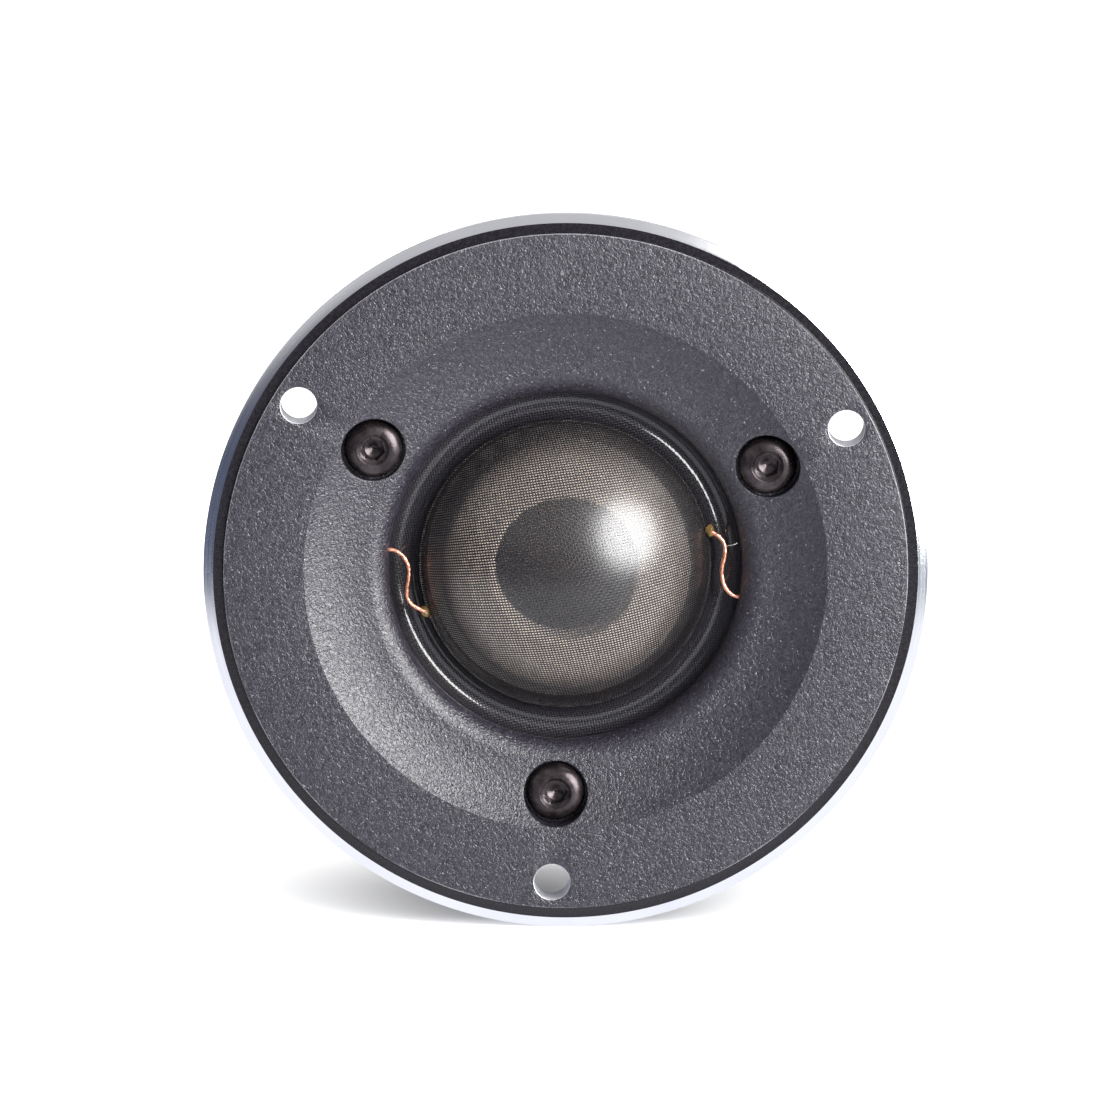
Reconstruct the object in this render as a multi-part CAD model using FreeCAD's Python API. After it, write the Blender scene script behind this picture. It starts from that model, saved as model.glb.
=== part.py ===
import FreeCAD, Part
import math
import os

# A dome tweeter for a car, in millimetres.
# Y is the acoustic axis, and the face looks towards -Y. +Z is up.
# The origin is the centre of the flange's rear seating face, so Y is depth behind that face.

# How far a cut runs past the face it opens.
cut_overshoot = 1.0

# ---- dome, surround and coil ----
dome_radius = 14.0
dome_height = 8.6
cloth_thickness = 0.25
dome_edge_width = 0.35
roll_width = 2.8
cloth_rim_width = 2.35
travel = 0.4
surround_room = 0.6
former_wall = 0.15
former_tail = 0.3
coil_build = 0.27
coil_height = 2.2
magnetic_gap = 0.3

# ---- screws ----
screw_count = 3
pattern_turn = 2.5
screw_radius = 1.5
screw_hole_clearance = 0.1
thread_clearance = 0.02
screw_tip_chamfer = 0.3
head_radius = 2.85
head_height = 1.65
head_side = 0.35
crown_bulge = 0.17
socket_sides = 6
socket_width = 2.0
socket_depth = 1.1
socket_ring_radius = 1.55
socket_ring_depth = 0.3
counterbore_clearance = 0.25
face_screw_length = 8.0
cup_screw_engagement = 3.2
tapped_extra = 0.8

# ---- faceplate ----
flange_thickness = 3.5
throat_overhang = 0.05
lip_width = 2.1
lip_slope = 75.0
lip_edge = 0.1
lead_gap = 0.7
dish_width = 6.1
dish_slope = 8.0
mouth_slope = 29.0
counterbore_depth = 3.0
screw_wall = 0.5
body_margin = 4.0
mount_hole_radius = 1.75
mount_hole_offset = 4.5
rim_margin = 4.5
ledge_width = 1.0
ledge_depth = 0.3
step_slant = 0.12
bevel_width = 0.95
bevel_depth = 0.3
rim_land = 0.3
rim_undercut = 0.8

# ---- motor ----
ring_width = 2.55
ring_clearance = 0.1
top_plate_thickness = 4.5
magnet_thickness = 6.0
magnet_setback = 1.78
magnet_room = 1.0
yoke_plate_thickness = 5.0
vent_radius = 6.8
vent_chamfer = 0.8
sleeve_wall = 0.3
sleeve_length = 5.5
felt_inset = 1.2
felt_inner_gap = 3.7
felt_outer_gap = 1.3
felt_crown = 0.25

# ---- rear cup and terminals ----
cup_length = 22.0
cup_wall = 2.0
cup_edge_chamfer = 1.0
cup_counterbore_depth = 2.2
post_radius = 4.0
post_inset = 2.0
pad_room = 1.5
pad_thickness = 4.5
pad_standoff = 0.5
board_length = 24.0
board_width = 10.0
board_thickness = 1.6
board_corner = 1.5
rivet_spacing = 19.0
rivet_radius = 1.0
rivet_head_radius = 1.8
rivet_head_height = 0.6
slot_wall = 0.2
slot_width = 5.0
terminal_spacing = 10.0
terminal_thickness = 0.8
terminal_foot_length = 4.2
terminal_blade_length = 7.5
terminal_pin_radius = 0.8
terminal_pin_reach = 0.9
positive_width = 4.8
negative_width = 2.8
blade_hole_radius = 0.6
blade_hole_setback = 2.5

# ---- leads and inner wires ----
lead_radius = 0.225
lead_bend = 2.5
run_share = 0.45
glue_radius = 0.62
tab_thickness = 0.2
tab_length = 1.6
tab_width = 1.8
tab_inset = 0.9
left_lead_angle = 174.7
right_lead_angle = -10.7
inner_wire_radius = 0.35
inner_wire_clearance = 0.1
inner_wire_bend = 0.6
groove_depth = 1.0
cross_drop = 1.5

# Each lead's route is (distance out from the middle of the roll, angle in degrees,
# height in front of the cloth's plane).
left_lead_route = [
    (-1.40, 198.6, 0.32),
    (-0.60, 196.0, 0.40),
    (-0.03, 192.4, 0.50),
    (-0.20, 188.4, 0.55),
    (-0.53, 184.4, 0.55),
    (-0.60, 180.6, 0.52),
    (-0.13, 177.0, 0.47),
    (0.70, 174.9, 0.43),
]
right_lead_route = [
    (-1.35, 13.2, 0.32),
    (-0.55, 11.0, 0.42),
    (-0.13, 7.4, 0.50),
    (-0.25, 3.4, 0.55),
    (-0.57, -0.6, 0.55),
    (-0.53, -4.6, 0.53),
    (-0.13, -8.2, 0.48),
    (0.65, -10.4, 0.43),
]

# ---- radii, worked outwards from the dome ----
dome_edge_radius = dome_radius + dome_edge_width
roll_radius = roll_width / 2
roll_centre_radius = dome_edge_radius + roll_radius
roll_outer_radius = dome_edge_radius + roll_width
cloth_outer_radius = roll_outer_radius + cloth_rim_width
tab_circle_radius = cloth_outer_radius - tab_inset
ring_inner_radius = roll_outer_radius + ring_clearance
ring_outer_radius = ring_inner_radius + ring_width
recess_radius = ring_outer_radius + ring_clearance
throat_radius = roll_outer_radius - throat_overhang
dish_radius = throat_radius + lip_width
mouth_radius = dish_radius + dish_width
screw_hole_radius = screw_radius + screw_hole_clearance
tapped_radius = screw_radius + thread_clearance
counterbore_radius = head_radius + counterbore_clearance
face_screw_circle_radius = recess_radius + screw_wall + screw_hole_radius
body_radius = face_screw_circle_radius + body_margin
mount_circle_radius = body_radius + mount_hole_offset
flange_radius = mount_circle_radius + rim_margin
bevel_inner_radius = flange_radius - bevel_width
face_edge_radius = bevel_inner_radius - ledge_width
coil_inner_radius = dome_radius + former_wall
coil_outer_radius = coil_inner_radius + coil_build
gap_outer_radius = coil_outer_radius + magnetic_gap
sleeve_outer_radius = dome_radius - magnetic_gap
pole_radius = sleeve_outer_radius - sleeve_wall
felt_outer_radius = pole_radius - felt_inset
cup_inner_radius = body_radius - cup_wall
magnet_inner_radius = gap_outer_radius + magnet_setback
magnet_outer_radius = cup_inner_radius - magnet_room
gap_wire_radius = (magnet_outer_radius + cup_inner_radius) / 2
wire_hole_radius = inner_wire_radius + inner_wire_clearance
cup_screw_circle_radius = cup_inner_radius - post_radius - post_inset
pad_radius = cup_screw_circle_radius - post_radius - pad_room
slot_length = rivet_spacing - 2 * (rivet_head_radius + slot_wall)

# ---- places along the axis ----
face_y = -flange_thickness
ledge_y = face_y + ledge_depth
dish_curve = dish_width / (
    math.sin(math.radians(mouth_slope)) - math.sin(math.radians(dish_slope)))
lip_curve = lip_width / (
    math.sin(math.radians(lip_slope)) - math.sin(math.radians(dish_slope)))
dish_y = face_y + dish_curve * (
    math.cos(math.radians(dish_slope)) - math.cos(math.radians(mouth_slope)))
throat_y = dish_y + lip_curve * (
    math.cos(math.radians(dish_slope)) - math.cos(math.radians(lip_slope)))
lip_y = throat_y + lip_edge
counterbore_floor_y = face_y + counterbore_depth
cloth_y = lip_y + lead_gap
cloth_back_y = cloth_y + cloth_thickness
sphere_radius = (dome_radius ** 2 + dome_height ** 2) / (2 * dome_height)
sphere_y = cloth_y - dome_height + sphere_radius
top_plate_y = cloth_back_y + roll_radius + travel + surround_room
top_plate_back_y = top_plate_y + top_plate_thickness
coil_centre_y = top_plate_y + top_plate_thickness / 2
groove_wire_y = top_plate_y + groove_depth / 2
magnet_back_y = top_plate_back_y + magnet_thickness
yoke_back_y = magnet_back_y + yoke_plate_thickness
cup_back_y = top_plate_back_y + cup_length
cup_floor_y = cup_back_y - cup_wall
cup_seat_y = cup_back_y - cup_counterbore_depth
cup_screw_length = cup_seat_y - yoke_back_y + cup_screw_engagement
board_back_y = cup_back_y + board_thickness
pin_end_y = cup_floor_y - terminal_pin_reach
cross_y = pin_end_y - cross_drop

AXIS = FreeCAD.Vector(0, 1, 0)
CENTRE = FreeCAD.Vector(0, 0, 0)


def section_point(radius, y):
    return FreeCAD.Vector(radius, y, 0)


def line_edges(points):
    return [Part.LineSegment(a, b).toShape() for a, b in zip(points, points[1:])]


def arc_edge(start, middle, end):
    return Part.Arc(start, middle, end).toShape()


def turned(edges):
    """Turn a closed half section about the Y axis."""
    return Part.Face(Part.Wire(edges)).revolve(CENTRE, AXIS, 360)


def turned_outline(outline):
    points = [section_point(radius, y) for radius, y in outline]
    return turned(line_edges(points + points[:1]))


def tube(inner_radius, outer_radius, front_y, back_y):
    return turned_outline([
        (inner_radius, front_y),
        (outer_radius, front_y),
        (outer_radius, back_y),
        (inner_radius, back_y),
    ])


def rod(radius, x, z, front_y, back_y):
    return Part.makeCylinder(radius, back_y - front_y, FreeCAD.Vector(x, front_y, z), AXIS)


def block(x_low, x_high, y_low, y_high, z_low, z_high):
    corner = FreeCAD.Vector(x_low, y_low, z_low)
    return Part.makeBox(x_high - x_low, y_high - y_low, z_high - z_low, corner)


def around(radius, angle, y=0.0):
    """A point at a radius and an angle about the axis, seen from the front."""
    turn = math.radians(angle)
    return FreeCAD.Vector(radius * math.cos(turn), y, radius * math.sin(turn))


def turned_about_axis(shape, angle):
    """Turn a shape that was made along +X to an angle seen from the front."""
    return shape.rotated(CENTRE, AXIS, -angle)


def pattern_angles():
    first = -90.0 - pattern_turn
    return [first + 360.0 / screw_count * index for index in range(screw_count)]


def wire_solid(points, radius, largest_bend):
    """A round wire along straight runs joined by tangent arcs."""
    edges = []
    start = points[0]
    for before, corner, after in zip(points, points[1:], points[2:]):
        back = (before - corner).normalize()
        ahead = (after - corner).normalize()
        half_turn = (math.pi - back.getAngle(ahead)) / 2
        shorter = min((before - corner).Length, (after - corner).Length)
        trim = min(run_share * shorter, largest_bend * math.tan(half_turn))
        bend = trim / math.tan(half_turn)
        inward = (back + ahead).normalize()
        centre = corner + inward * (bend / math.cos(half_turn))
        enter = corner + back * trim
        leave = corner + ahead * trim
        edges.append(Part.LineSegment(start, enter).toShape())
        edges.append(arc_edge(enter, centre - inward * bend, leave))
        start = leave
    edges.append(Part.LineSegment(start, points[-1]).toShape())
    path = Part.Wire(edges)
    circle = Part.Wire(Part.Circle(points[0], points[1] - points[0], radius).toShape())
    return path.makePipeShell([circle], True, True)


def largest_solid(shape):
    return max(shape.Solids, key=lambda solid: solid.Volume)


def waveguide_edges():
    """The dish and the rounded throat lip, from the throat out to the mouth."""
    def lip_point(slope):
        turn = math.radians(slope)
        level = math.radians(dish_slope)
        radius = dish_radius - lip_curve * (math.sin(turn) - math.sin(level))
        return section_point(radius, dish_y + lip_curve * (math.cos(level) - math.cos(turn)))

    def dish_point(slope):
        turn = math.radians(slope)
        level = math.radians(dish_slope)
        radius = dish_radius + dish_curve * (math.sin(turn) - math.sin(level))
        return section_point(radius, dish_y - dish_curve * (math.cos(level) - math.cos(turn)))

    lip_middle = (lip_slope + dish_slope) / 2
    dish_middle = (mouth_slope + dish_slope) / 2
    return [
        arc_edge(lip_point(lip_slope), lip_point(lip_middle), lip_point(dish_slope)),
        arc_edge(dish_point(dish_slope), dish_point(dish_middle), dish_point(mouth_slope)),
    ]


def faceplate():
    land_y = ledge_y + bevel_depth
    rest = [
        section_point(mouth_radius, face_y),
        section_point(face_edge_radius, face_y),
        section_point(face_edge_radius + step_slant, ledge_y),
        section_point(bevel_inner_radius, ledge_y),
        section_point(flange_radius, land_y),
        section_point(flange_radius, land_y + rim_land),
        section_point(flange_radius - rim_undercut, 0),
        section_point(body_radius, 0),
        section_point(body_radius, top_plate_y),
        section_point(recess_radius, top_plate_y),
        section_point(recess_radius, lip_y),
        section_point(throat_radius, lip_y),
        section_point(throat_radius, throat_y),
    ]
    plate = turned(waveguide_edges() + line_edges(rest))
    floor_y = counterbore_floor_y
    cuts = []
    for angle in pattern_angles():
        hole = around(mount_circle_radius, angle)
        screw = around(face_screw_circle_radius, angle)
        cuts.append(rod(mount_hole_radius, hole.x, hole.z, face_y - cut_overshoot, cut_overshoot))
        cuts.append(rod(counterbore_radius, screw.x, screw.z, face_y - cut_overshoot, floor_y))
        cuts.append(rod(screw_hole_radius, screw.x, screw.z, floor_y - cut_overshoot,
                        top_plate_y + cut_overshoot))
    return plate.cut(cuts)


def button_screw(length):
    """A button-head socket screw on the Y axis, seated at y = 0, with its head towards -Y."""
    crown_start = section_point(head_radius, -head_side)
    crown_end = section_point(socket_ring_radius, -head_height)
    crown_middle = section_point(
        (head_radius + socket_ring_radius) / 2 + crown_bulge,
        -(head_side + head_height) / 2 - crown_bulge)
    socket_point = socket_width / 2 / math.cos(math.pi / socket_sides)
    lower = [
        crown_end,
        section_point(socket_point, -head_height + socket_ring_depth),
        section_point(0, -head_height + socket_ring_depth),
        section_point(0, length),
        section_point(screw_radius - screw_tip_chamfer, length),
        section_point(screw_radius, length - screw_tip_chamfer),
        section_point(screw_radius, 0),
        section_point(head_radius, 0),
        crown_start,
    ]
    body = turned([arc_edge(crown_start, crown_middle, crown_end)] + line_edges(lower))
    corners = [around(socket_point, 360.0 / socket_sides * index, -head_height - cut_overshoot)
               for index in range(socket_sides)]
    outline = Part.Face(Part.Wire(line_edges(corners + corners[:1])))
    socket = outline.extrude(AXIS * (socket_depth + cut_overshoot))
    return body.cut(socket)


def faceplate_screws():
    screws = []
    for angle in pattern_angles():
        place = around(face_screw_circle_radius, angle, counterbore_floor_y)
        screws.append(button_screw(face_screw_length).translated(place))
    return Part.makeCompound(screws)


def on_sphere(radius, distance):
    """A point at a distance from the axis, on a sphere about the dome's centre."""
    return section_point(distance, sphere_y - math.sqrt(radius ** 2 - distance ** 2))


def dome():
    inner_radius = sphere_radius - cloth_thickness
    foot_radius = math.sqrt(inner_radius ** 2 - (sphere_y - cloth_back_y) ** 2)
    outer_top = on_sphere(sphere_radius, 0)
    inner_top = on_sphere(inner_radius, 0)
    outer_end = section_point(dome_radius, cloth_y)
    inner_end = section_point(foot_radius, cloth_back_y)
    rim = [
        outer_end,
        section_point(dome_edge_radius, cloth_y),
        section_point(dome_edge_radius, cloth_back_y),
        inner_end,
    ]
    edges = [arc_edge(outer_top, on_sphere(sphere_radius, dome_radius / 2), outer_end)]
    edges += line_edges(rim)
    edges.append(arc_edge(inner_end, on_sphere(inner_radius, dome_radius / 2), inner_top))
    edges += line_edges([inner_top, outer_top])
    return turned(edges)


def surround():
    """A half roll that dips to the rear, with a flat rim that is glued to the ring."""
    back_radius = roll_radius + cloth_thickness
    end_drop = math.sqrt(back_radius ** 2 - roll_radius ** 2)
    front_inner = section_point(dome_edge_radius, cloth_y)
    front_outer = section_point(roll_outer_radius, cloth_y)
    back_inner = section_point(dome_edge_radius, cloth_y + end_drop)
    back_outer = section_point(roll_outer_radius, cloth_y + end_drop)
    rim = [
        front_outer,
        section_point(cloth_outer_radius, cloth_y),
        section_point(cloth_outer_radius, cloth_back_y),
        section_point(roll_outer_radius, cloth_back_y),
        back_outer,
    ]
    front_bottom = section_point(roll_centre_radius, cloth_y + roll_radius)
    back_bottom = section_point(roll_centre_radius, cloth_y + back_radius)
    edges = [arc_edge(front_inner, front_bottom, front_outer)]
    edges += line_edges(rim)
    edges.append(arc_edge(back_outer, back_bottom, back_inner))
    edges += line_edges([back_inner, front_inner])
    return turned(edges).cut(tab_wire_holes(cloth_y, cloth_back_y))


def tab_wire_holes(front_y, back_y):
    holes = []
    for angle in (left_lead_angle, right_lead_angle):
        place = around(tab_circle_radius, angle)
        holes.append(rod(wire_hole_radius, place.x, place.z, front_y - cut_overshoot,
                         back_y + cut_overshoot))
    return holes


def surround_ring():
    ring = tube(ring_inner_radius, ring_outer_radius, cloth_back_y, top_plate_y)
    return ring.cut(tab_wire_holes(cloth_back_y, top_plate_y))


def coil_former():
    back_y = coil_centre_y + coil_height / 2 + former_tail
    return tube(dome_radius, coil_inner_radius, cloth_back_y, back_y)


def voice_coil():
    front_y = coil_centre_y - coil_height / 2
    return tube(coil_inner_radius, coil_outer_radius, front_y, front_y + coil_height)


def lead_wire(route, angle):
    points = [around(roll_centre_radius + out, turn, cloth_y - height)
              for out, turn, height in route]
    tab_y = cloth_y - tab_thickness - lead_radius
    points.append(around(roll_outer_radius, angle, tab_y))
    points.append(around(tab_circle_radius, angle, tab_y))
    return wire_solid(points, lead_radius, lead_bend)


def lead_glue(leads, neighbours):
    beads = []
    for route, lead in leads:
        out, angle, height = route[0]
        place = around(roll_centre_radius + out, angle, cloth_y - height)
        bead = Part.makeSphere(glue_radius, place)
        keep = bead.cut([lead] + neighbours)
        front = tube(0, body_radius, cloth_y - 2 * glue_radius, cloth_y)
        beads.append(largest_solid(keep.common(front)))
    return Part.makeCompound(beads)


def solder_tab(angle):
    half = tab_length / 2
    middle = tab_circle_radius
    front_y = cloth_y - tab_thickness
    tab = block(middle - half, middle + half, front_y, cloth_y, -tab_width / 2, tab_width / 2)
    return turned_about_axis(tab, angle)


def top_plate():
    plate = tube(gap_outer_radius, body_radius, top_plate_y, top_plate_back_y)
    front_y = top_plate_y - cut_overshoot
    back_y = top_plate_back_y + cut_overshoot
    cuts = []
    for angle in pattern_angles():
        place = around(face_screw_circle_radius, angle)
        cuts.append(rod(tapped_radius, place.x, place.z, front_y, back_y))
    for angle in (left_lead_angle, right_lead_angle):
        start = tab_circle_radius - wire_hole_radius
        groove = block(start, gap_wire_radius, front_y, top_plate_y + groove_depth,
                       -wire_hole_radius, wire_hole_radius)
        cuts.append(turned_about_axis(groove, angle))
        place = around(gap_wire_radius, angle)
        cuts.append(rod(wire_hole_radius, place.x, place.z, front_y, back_y))
    return plate.cut(cuts)


def magnet():
    return tube(magnet_inner_radius, magnet_outer_radius, top_plate_back_y, magnet_back_y)


def yoke():
    """A back plate and a pole in one piece, with a vent bored through both."""
    body = turned_outline([
        (vent_radius, top_plate_y),
        (pole_radius, top_plate_y),
        (pole_radius, magnet_back_y),
        (magnet_outer_radius, magnet_back_y),
        (magnet_outer_radius, yoke_back_y),
        (vent_radius + vent_chamfer, yoke_back_y),
        (vent_radius, yoke_back_y - vent_chamfer),
    ])
    front_y = cup_seat_y - cup_screw_length - tapped_extra
    holes = []
    for angle in pattern_angles():
        place = around(cup_screw_circle_radius, angle)
        holes.append(rod(tapped_radius, place.x, place.z, front_y, yoke_back_y + cut_overshoot))
    return body.cut(holes)


def copper_sleeve():
    return tube(pole_radius, sleeve_outer_radius, top_plate_y, top_plate_y + sleeve_length)


def pole_felt():
    """A felt ring on the pole, domed to follow the inside of the dome."""
    inside = sphere_radius - cloth_thickness
    inner = on_sphere(inside, vent_radius) + AXIS * felt_inner_gap
    outer = on_sphere(inside, felt_outer_radius) + AXIS * felt_outer_gap
    middle = (inner + outer) / 2 - AXIS * felt_crown
    rest = [
        outer,
        section_point(felt_outer_radius, top_plate_y),
        section_point(vent_radius, top_plate_y),
        inner,
    ]
    return turned([arc_edge(inner, middle, outer)] + line_edges(rest))


def terminal_slot(front_y, back_y):
    return block(-slot_length / 2, slot_length / 2, front_y, back_y, -slot_width / 2, slot_width / 2)


def rear_cup():
    shell = turned_outline([
        (cup_inner_radius, top_plate_back_y),
        (body_radius, top_plate_back_y),
        (body_radius, cup_back_y - cup_edge_chamfer),
        (body_radius - cup_edge_chamfer, cup_back_y),
        (0, cup_back_y),
        (0, cup_floor_y),
        (cup_inner_radius, cup_floor_y),
    ])
    posts = []
    front_y = cup_floor_y - cut_overshoot
    back_y = cup_back_y + cut_overshoot
    cuts = [terminal_slot(front_y, back_y)]
    for angle in pattern_angles():
        place = around(cup_screw_circle_radius, angle)
        posts.append(rod(post_radius, place.x, place.z, yoke_back_y, cup_floor_y))
        cuts.append(rod(screw_hole_radius, place.x, place.z, yoke_back_y - cut_overshoot, back_y))
        cuts.append(rod(counterbore_radius, place.x, place.z, cup_seat_y, back_y))
    for side in (-1, 1):
        cuts.append(rod(rivet_radius, side * rivet_spacing / 2, 0, front_y, back_y))
    return shell.fuse(posts).cut(cuts)


def cup_screws():
    screws = []
    for angle in pattern_angles():
        screw = button_screw(cup_screw_length).rotated(CENTRE, FreeCAD.Vector(1, 0, 0), 180)
        screws.append(screw.translated(around(cup_screw_circle_radius, angle, cup_seat_y)))
    return Part.makeCompound(screws)


def chamber_felt():
    front_y = yoke_back_y + pad_standoff
    return rod(pad_radius, 0, 0, front_y, front_y + pad_thickness)


def terminal_board():
    board = block(-board_length / 2, board_length / 2, cup_back_y, board_back_y,
                  -board_width / 2, board_width / 2)
    upright = [edge for edge in board.Edges
               if abs(edge.Vertexes[0].Y - edge.Vertexes[-1].Y) > board_thickness / 2]
    board = board.makeFillet(board_corner, upright)
    front_y = cup_back_y - cut_overshoot
    back_y = board_back_y + cut_overshoot
    holes = []
    for side in (-1, 1):
        rivet_x = side * rivet_spacing / 2
        pin_x = side * terminal_spacing / 2
        holes.append(rod(rivet_radius, rivet_x, 0, front_y, back_y))
        holes.append(rod(terminal_pin_radius, pin_x, 0, front_y, back_y))
    return board.cut(holes)


def terminal(side, width):
    """A foot on the board, a blade that stands out to the rear and a pin through the board."""
    middle_x = side * terminal_spacing / 2
    half_foot = terminal_foot_length / 2
    foot_back_y = board_back_y + terminal_thickness
    foot = block(middle_x - half_foot, middle_x + half_foot, board_back_y, foot_back_y,
                 -width / 2, width / 2)
    outer_x = middle_x + side * half_foot
    inner_x = outer_x - side * terminal_thickness
    low_x = min(outer_x, inner_x)
    high_x = max(outer_x, inner_x)
    blade_end_y = foot_back_y + terminal_blade_length
    blade = block(low_x, high_x, foot_back_y, blade_end_y, -width / 2, width / 2)
    hole_start = FreeCAD.Vector(low_x - cut_overshoot, blade_end_y - blade_hole_setback, 0)
    hole = Part.makeCylinder(blade_hole_radius, terminal_thickness + 2 * cut_overshoot,
                             hole_start, FreeCAD.Vector(1, 0, 0))
    pin = rod(terminal_pin_radius, middle_x, 0, pin_end_y, board_back_y)
    return foot.fuse([blade, pin]).cut(hole).removeSplitter()


def terminal_rivets():
    rivets = []
    for side in (-1, 1):
        x = side * rivet_spacing / 2
        shank = rod(rivet_radius, x, 0, cup_floor_y, board_back_y)
        head = rod(rivet_head_radius, x, 0, board_back_y, board_back_y + rivet_head_height)
        tail = rod(rivet_head_radius, x, 0, cup_floor_y - rivet_head_height, cup_floor_y)
        rivets.append(shank.fuse([head, tail]).removeSplitter())
    return Part.makeCompound(rivets)


def inner_wire(angle, side):
    """From the solder tab, through the motor and the gap round the magnet, to a terminal pin."""
    pin_x = side * terminal_spacing / 2
    points = [
        around(tab_circle_radius, angle, cloth_y),
        around(tab_circle_radius, angle, groove_wire_y),
        around(gap_wire_radius, angle, groove_wire_y),
        around(gap_wire_radius, angle, cross_y),
        FreeCAD.Vector(pin_x, cross_y, 0),
        FreeCAD.Vector(pin_x, pin_end_y, 0),
    ]
    return wire_solid(points, inner_wire_radius, inner_wire_bend)


def save(name, shape):
    shape.exportStep("parts/" + name + ".step")


os.makedirs("parts", exist_ok=True)

left_lead = lead_wire(left_lead_route, left_lead_angle)
right_lead = lead_wire(right_lead_route, right_lead_angle)
dome_cloth = dome()
surround_cloth = surround()
leads = [(left_lead_route, left_lead), (right_lead_route, right_lead)]

save("faceplate", faceplate())
save("faceplate_screws", faceplate_screws())
save("dome", dome_cloth)
save("surround", surround_cloth)
save("surround_ring", surround_ring())
save("coil_former", coil_former())
save("voice_coil", voice_coil())
save("lead_wire_left", left_lead)
save("lead_wire_right", right_lead)
save("lead_glue", lead_glue(leads, [dome_cloth, surround_cloth]))
save("solder_tab_left", solder_tab(left_lead_angle))
save("solder_tab_right", solder_tab(right_lead_angle))
save("top_plate", top_plate())
save("magnet", magnet())
save("yoke", yoke())
save("copper_sleeve", copper_sleeve())
save("pole_felt", pole_felt())
save("rear_cup", rear_cup())
save("cup_screws", cup_screws())
save("chamber_felt", chamber_felt())
save("terminal_board", terminal_board())
save("terminal_positive", terminal(-1, positive_width))
save("terminal_negative", terminal(1, negative_width))
save("terminal_rivets", terminal_rivets())
save("inner_wire_left", inner_wire(left_lead_angle, -1))
save("inner_wire_right", inner_wire(right_lead_angle, 1))
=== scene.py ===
import math

import bmesh
import bpy
import numpy as np
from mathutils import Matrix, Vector, noise


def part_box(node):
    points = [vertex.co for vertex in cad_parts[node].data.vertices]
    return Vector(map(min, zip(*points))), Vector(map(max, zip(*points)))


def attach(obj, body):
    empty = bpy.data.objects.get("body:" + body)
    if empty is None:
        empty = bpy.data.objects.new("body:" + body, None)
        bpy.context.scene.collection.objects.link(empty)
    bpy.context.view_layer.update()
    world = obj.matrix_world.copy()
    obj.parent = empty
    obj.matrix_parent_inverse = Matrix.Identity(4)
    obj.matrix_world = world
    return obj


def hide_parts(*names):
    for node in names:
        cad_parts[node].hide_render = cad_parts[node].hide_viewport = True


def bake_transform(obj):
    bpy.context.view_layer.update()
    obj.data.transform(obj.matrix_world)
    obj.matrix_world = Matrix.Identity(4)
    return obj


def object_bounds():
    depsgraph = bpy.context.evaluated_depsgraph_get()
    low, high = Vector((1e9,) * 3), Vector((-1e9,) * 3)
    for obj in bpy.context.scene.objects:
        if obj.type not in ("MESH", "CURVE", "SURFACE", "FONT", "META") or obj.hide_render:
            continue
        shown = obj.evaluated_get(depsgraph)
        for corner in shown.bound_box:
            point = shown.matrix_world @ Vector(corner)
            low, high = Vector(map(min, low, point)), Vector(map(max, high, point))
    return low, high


# A car dome tweeter. Y runs from the face to the rear, Z is up.
# Sizes are in millimetres, as in the CAD source. Meshes, lights and the floor are in metres.
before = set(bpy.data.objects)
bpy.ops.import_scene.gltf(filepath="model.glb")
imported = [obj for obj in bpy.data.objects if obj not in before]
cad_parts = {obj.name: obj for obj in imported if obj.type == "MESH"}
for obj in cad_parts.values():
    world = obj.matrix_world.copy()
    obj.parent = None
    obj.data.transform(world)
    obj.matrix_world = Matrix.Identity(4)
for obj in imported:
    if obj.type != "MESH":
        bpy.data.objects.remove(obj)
cad_low, cad_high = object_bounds()
MM = 0.001


def low(node):
    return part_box(node)[0] / MM


def high(node):
    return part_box(node)[1] / MM


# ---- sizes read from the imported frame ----
flange_radius = high("faceplate").x
face_y = low("faceplate").y
body_radius = high("top_plate").x
plate_y = low("top_plate").y
plate_back_y = high("top_plate").y
dome_top_y = low("dome").y
dome_edge_radius = high("dome").x
cloth_outer_radius = high("surround").x
cup_back_y = high("rear_cup").y
floor_z = cad_low.z / MM

# ---- sizes repeated from the CAD source, and what follows from them ----
dome_radius = 14.0
cloth_thickness = 0.25
cloth_y = high("dome").y - cloth_thickness
roll_radius = 1.4
roll_middle = dome_edge_radius + roll_radius
roll_outer_radius = roll_middle + roll_radius
throat_radius = roll_outer_radius - 0.05
dish_radius = throat_radius + 2.1
mouth_radius = dish_radius + 6.1
lip_slope, dish_slope, mouth_slope = 75.0, 8.0, 29.0
lip_edge = 0.1
recess_radius = 19.9
ledge_depth = 0.3
bevel_depth = 0.3
rim_land = 0.3
ledge_radius = flange_radius - 0.95
face_radius = ledge_radius - 1.0
screw_circle = body_radius - 4.0
hole_circle = body_radius + 4.5
hole_radius = 1.75
counterbore_radius = 3.1
counterbore_y = face_y + 3.0
screw_hole_radius = 1.6
pattern_angles = [-92.5, 27.5, 147.5]
dome_height = cloth_y - dome_top_y
sphere_radius = (dome_radius ** 2 + dome_height ** 2) / (2 * dome_height)
sphere_y = dome_top_y + sphere_radius
vent_radius = 6.8
felt_outer_radius = high("pole_felt").x
felt_inner_gap, felt_outer_gap, felt_crown = 3.7, 1.3, 0.25
lead_radius = 0.225
tab_thickness = 0.2
tab_circle_radius = cloth_outer_radius - 0.9
screw_radius = 1.5
head_radius = 2.85
head_height = 1.65
head_side = 0.35
crown_bulge = 0.31
socket_half_width = 1.0
socket_depth = 1.1
socket_ring_radius = 1.55
socket_ring_depth = 0.3
thread_pitch = 0.5
thread_depth = 0.22
cup_wall = 2.0
cup_screw_circle = body_radius - 8.0
cup_seat_y = cup_back_y - 2.2
rivet_radius = 1.0
rivet_head_radius = 1.8
rivet_head_height = 0.6
rivet_place = 9.5
slot_half_length, slot_half_width = 7.5, 2.5

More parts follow.
